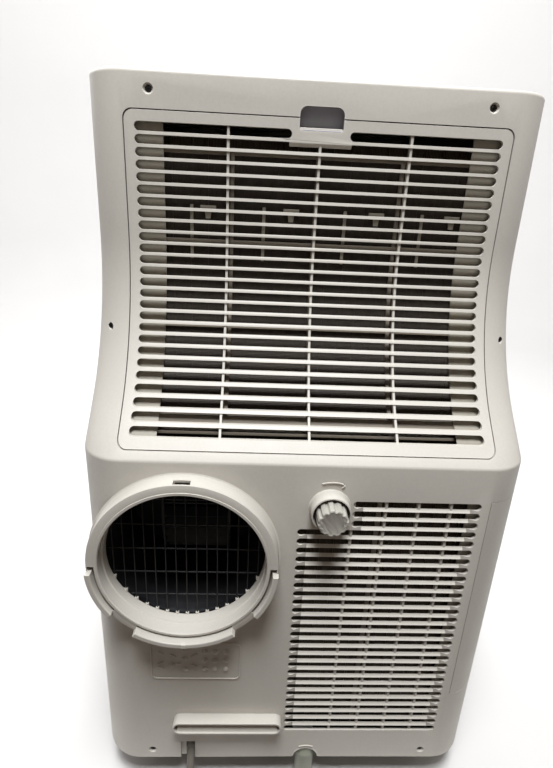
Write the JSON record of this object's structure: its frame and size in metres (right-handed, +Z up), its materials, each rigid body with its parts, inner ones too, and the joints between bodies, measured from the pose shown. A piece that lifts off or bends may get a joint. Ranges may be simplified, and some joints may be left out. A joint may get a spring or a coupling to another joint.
{
  "type": "portable air conditioner",
  "caption": "Free-standing room cooler on casters, with a leaning rear filter cover, lower rear grille, round exhaust port, drains and mains cord.",
  "frame": {"origin": "middle of the footprint on the floor, under the centre of the box round the unit without its cord", "axes": "+Z up; the front with the air outlet faces -Y and the back with the exhaust port faces +Y; +X is to the right seen from the front"},
  "size_m": [0.41, 0.5541, 0.7336],
  "materials": {
    "casing": "fine satin moulded ABS, warm off-white",
    "inner_plastic": "plain moulded plastic",
    "duct": "dark moulded duct",
    "wire": "coated wire",
    "pan": "plain moulded plastic",
    "console": "gloss",
    "display": "smoked window",
    "button": "satin",
    "mesh": "woven nylon mesh",
    "fan": "moulded",
    "zinc": "zinc plated",
    "cap": "satin",
    "spout": "smooth grey-green",
    "fins": "thin fins",
    "enamel": "black enamel",
    "rubber": "matte",
    "copper": "drawn copper tube",
    "board": "varnished board",
    "screw": "blackened",
    "caster": "moulded",
    "wheel": "hard rubber",
    "cord": "grey PVC sheath",
    "plug": "moulded PVC"
  },
  "bodies": {
    "root": {"base_pan": "pan", "rear_shell": "casing", "front_shell": "casing", "top_panel": "casing", "control_panel": "console", "display_window": "display", "exhaust_collar": "casing", "duct_guard": "wire", "exhaust_housing": "duct", "exhaust_motor": "zinc", "drain_spigot": "casing", "drain_pipe": "spout", "accessory_slot": "casing", "mid_deck": "inner_plastic", "evaporator": "fins", "condenser": "fins", "compressor": "enamel", "compressor_grommets": "rubber", "refrigerant_pipes": "copper", "blower_housing": "inner_plastic", "blower_motor": "zinc", "control_box": "inner_plastic", "circuit_board": "board", "run_capacitor": "zinc", "side_handles": "casing", "outlet_frame": "inner_plastic", "shell_screws": "screw", "cord_gland": "plug", "mains_cord": "cord", "cord_coil": "cord", "cord_tie": "rubber", "mains_plug": "plug"},
    "filter_cover": {"filter_cover": "casing", "filter_frame": "inner_plastic", "filter_mesh": "mesh"},
    "side_cover": {"side_cover": "casing", "side_filter": "mesh"},
    "drain_cap": {"drain_cap": "cap"},
    "exhaust_wheel": {"exhaust_wheel": "fan"},
    "blower_wheel": {"blower_wheel": "fan"},
    "louver_1": {"louver_1": "casing"},
    "louver_2": {"louver_2": "casing"},
    "louver_3": {"louver_3": "casing"},
    "louver_4": {"louver_4": "casing"},
    "button_power": {"button_power": "button"},
    "button_mode": {"button_mode": "button"},
    "button_fan": {"button_fan": "button"},
    "button_timer": {"button_timer": "button"},
    "caster_fork_front_left": {"caster_fork_front_left": "caster", "caster_axle_front_left": "zinc"},
    "caster_wheel_front_left": {"caster_wheel_front_left": "wheel"},
    "caster_fork_front_right": {"caster_fork_front_right": "caster", "caster_axle_front_right": "zinc"},
    "caster_wheel_front_right": {"caster_wheel_front_right": "wheel"},
    "caster_fork_rear_left": {"caster_fork_rear_left": "caster", "caster_axle_rear_left": "zinc"},
    "caster_wheel_rear_left": {"caster_wheel_rear_left": "wheel"},
    "caster_fork_rear_right": {"caster_fork_rear_right": "caster", "caster_axle_rear_right": "zinc"},
    "caster_wheel_rear_right": {"caster_wheel_rear_right": "wheel"}
  },
  "joints": [
    {"name": "filter_cover_tilt", "type": "hinge", "parent": "root", "child": "filter_cover", "pos_m": [0, 0.17226, 0.4175], "axis": [-1, 0, 0], "range_deg": [0, 60]},
    {"name": "side_cover_pull", "type": "slide", "parent": "root", "child": "side_cover", "axis": [-1, 0, 0], "range_m": [0, 0.03]},
    {"name": "drain_cap_turn", "type": "hinge", "parent": "root", "child": "drain_cap", "pos_m": [-0.021, 0.1895, 0.3675], "axis": [0, 1, 0], "range_deg": [0, 540]},
    {"name": "exhaust_wheel_spin", "type": "hinge", "parent": "root", "child": "exhaust_wheel", "pos_m": [0.11, 0.03, 0.3], "axis": [1, 0, 0], "continuous": true},
    {"name": "blower_wheel_spin", "type": "hinge", "parent": "root", "child": "blower_wheel", "pos_m": [0, -0.07, 0.52], "axis": [0, 1, 0], "continuous": true},
    {"name": "louver_1_tilt", "type": "hinge", "parent": "root", "child": "louver_1", "pos_m": [0, -0.1925, 0.6125], "axis": [1, 0, 0], "range_deg": [-35, 35]},
    {"name": "louver_2_tilt", "type": "hinge", "parent": "root", "child": "louver_2", "pos_m": [0, -0.1925, 0.632], "axis": [1, 0, 0], "range_deg": [-35, 35]},
    {"name": "louver_3_tilt", "type": "hinge", "parent": "root", "child": "louver_3", "pos_m": [0, -0.1925, 0.6515], "axis": [1, 0, 0], "range_deg": [-35, 35]},
    {"name": "louver_4_tilt", "type": "hinge", "parent": "root", "child": "louver_4", "pos_m": [0, -0.1925, 0.671], "axis": [1, 0, 0], "range_deg": [-35, 35]},
    {"name": "button_power_press", "type": "slide", "parent": "root", "child": "button_power", "axis": [0, 0, -1], "range_m": [0, 0.0012], "stiffness_N_per_m": 300},
    {"name": "button_mode_press", "type": "slide", "parent": "root", "child": "button_mode", "axis": [0, 0, -1], "range_m": [0, 0.0012], "stiffness_N_per_m": 300},
    {"name": "button_fan_press", "type": "slide", "parent": "root", "child": "button_fan", "axis": [0, 0, -1], "range_m": [0, 0.0012], "stiffness_N_per_m": 300},
    {"name": "button_timer_press", "type": "slide", "parent": "root", "child": "button_timer", "axis": [0, 0, -1], "range_m": [0, 0.0012], "stiffness_N_per_m": 300},
    {"name": "caster_swivel_front_left", "type": "hinge", "parent": "root", "child": "caster_fork_front_left", "pos_m": [-0.155, -0.1525, 0.038], "axis": [0, 0, 1], "continuous": true},
    {"name": "caster_roll_front_left", "type": "hinge", "parent": "caster_fork_front_left", "child": "caster_wheel_front_left", "pos_m": [-0.155, -0.1435, 0.015], "axis": [1, 0, 0], "continuous": true},
    {"name": "caster_swivel_front_right", "type": "hinge", "parent": "root", "child": "caster_fork_front_right", "pos_m": [0.155, -0.1525, 0.038], "axis": [0, 0, 1], "continuous": true},
    {"name": "caster_roll_front_right", "type": "hinge", "parent": "caster_fork_front_right", "child": "caster_wheel_front_right", "pos_m": [0.155, -0.1435, 0.015], "axis": [1, 0, 0], "continuous": true},
    {"name": "caster_swivel_rear_left", "type": "hinge", "parent": "root", "child": "caster_fork_rear_left", "pos_m": [-0.155, 0.1275, 0.038], "axis": [0, 0, 1], "continuous": true},
    {"name": "caster_roll_rear_left", "type": "hinge", "parent": "caster_fork_rear_left", "child": "caster_wheel_rear_left", "pos_m": [-0.155, 0.1365, 0.015], "axis": [1, 0, 0], "continuous": true},
    {"name": "caster_swivel_rear_right", "type": "hinge", "parent": "root", "child": "caster_fork_rear_right", "pos_m": [0.155, 0.1275, 0.038], "axis": [0, 0, 1], "continuous": true},
    {"name": "caster_roll_rear_right", "type": "hinge", "parent": "caster_fork_rear_right", "child": "caster_wheel_rear_right", "pos_m": [0.155, 0.1365, 0.015], "axis": [1, 0, 0], "continuous": true}
  ],
  "couplings": [
    {"joint": "louver_2_tilt", "follows": "louver_1_tilt", "ratio": 1},
    {"joint": "louver_3_tilt", "follows": "louver_1_tilt", "ratio": 1},
    {"joint": "louver_4_tilt", "follows": "louver_1_tilt", "ratio": 1}
  ]
}
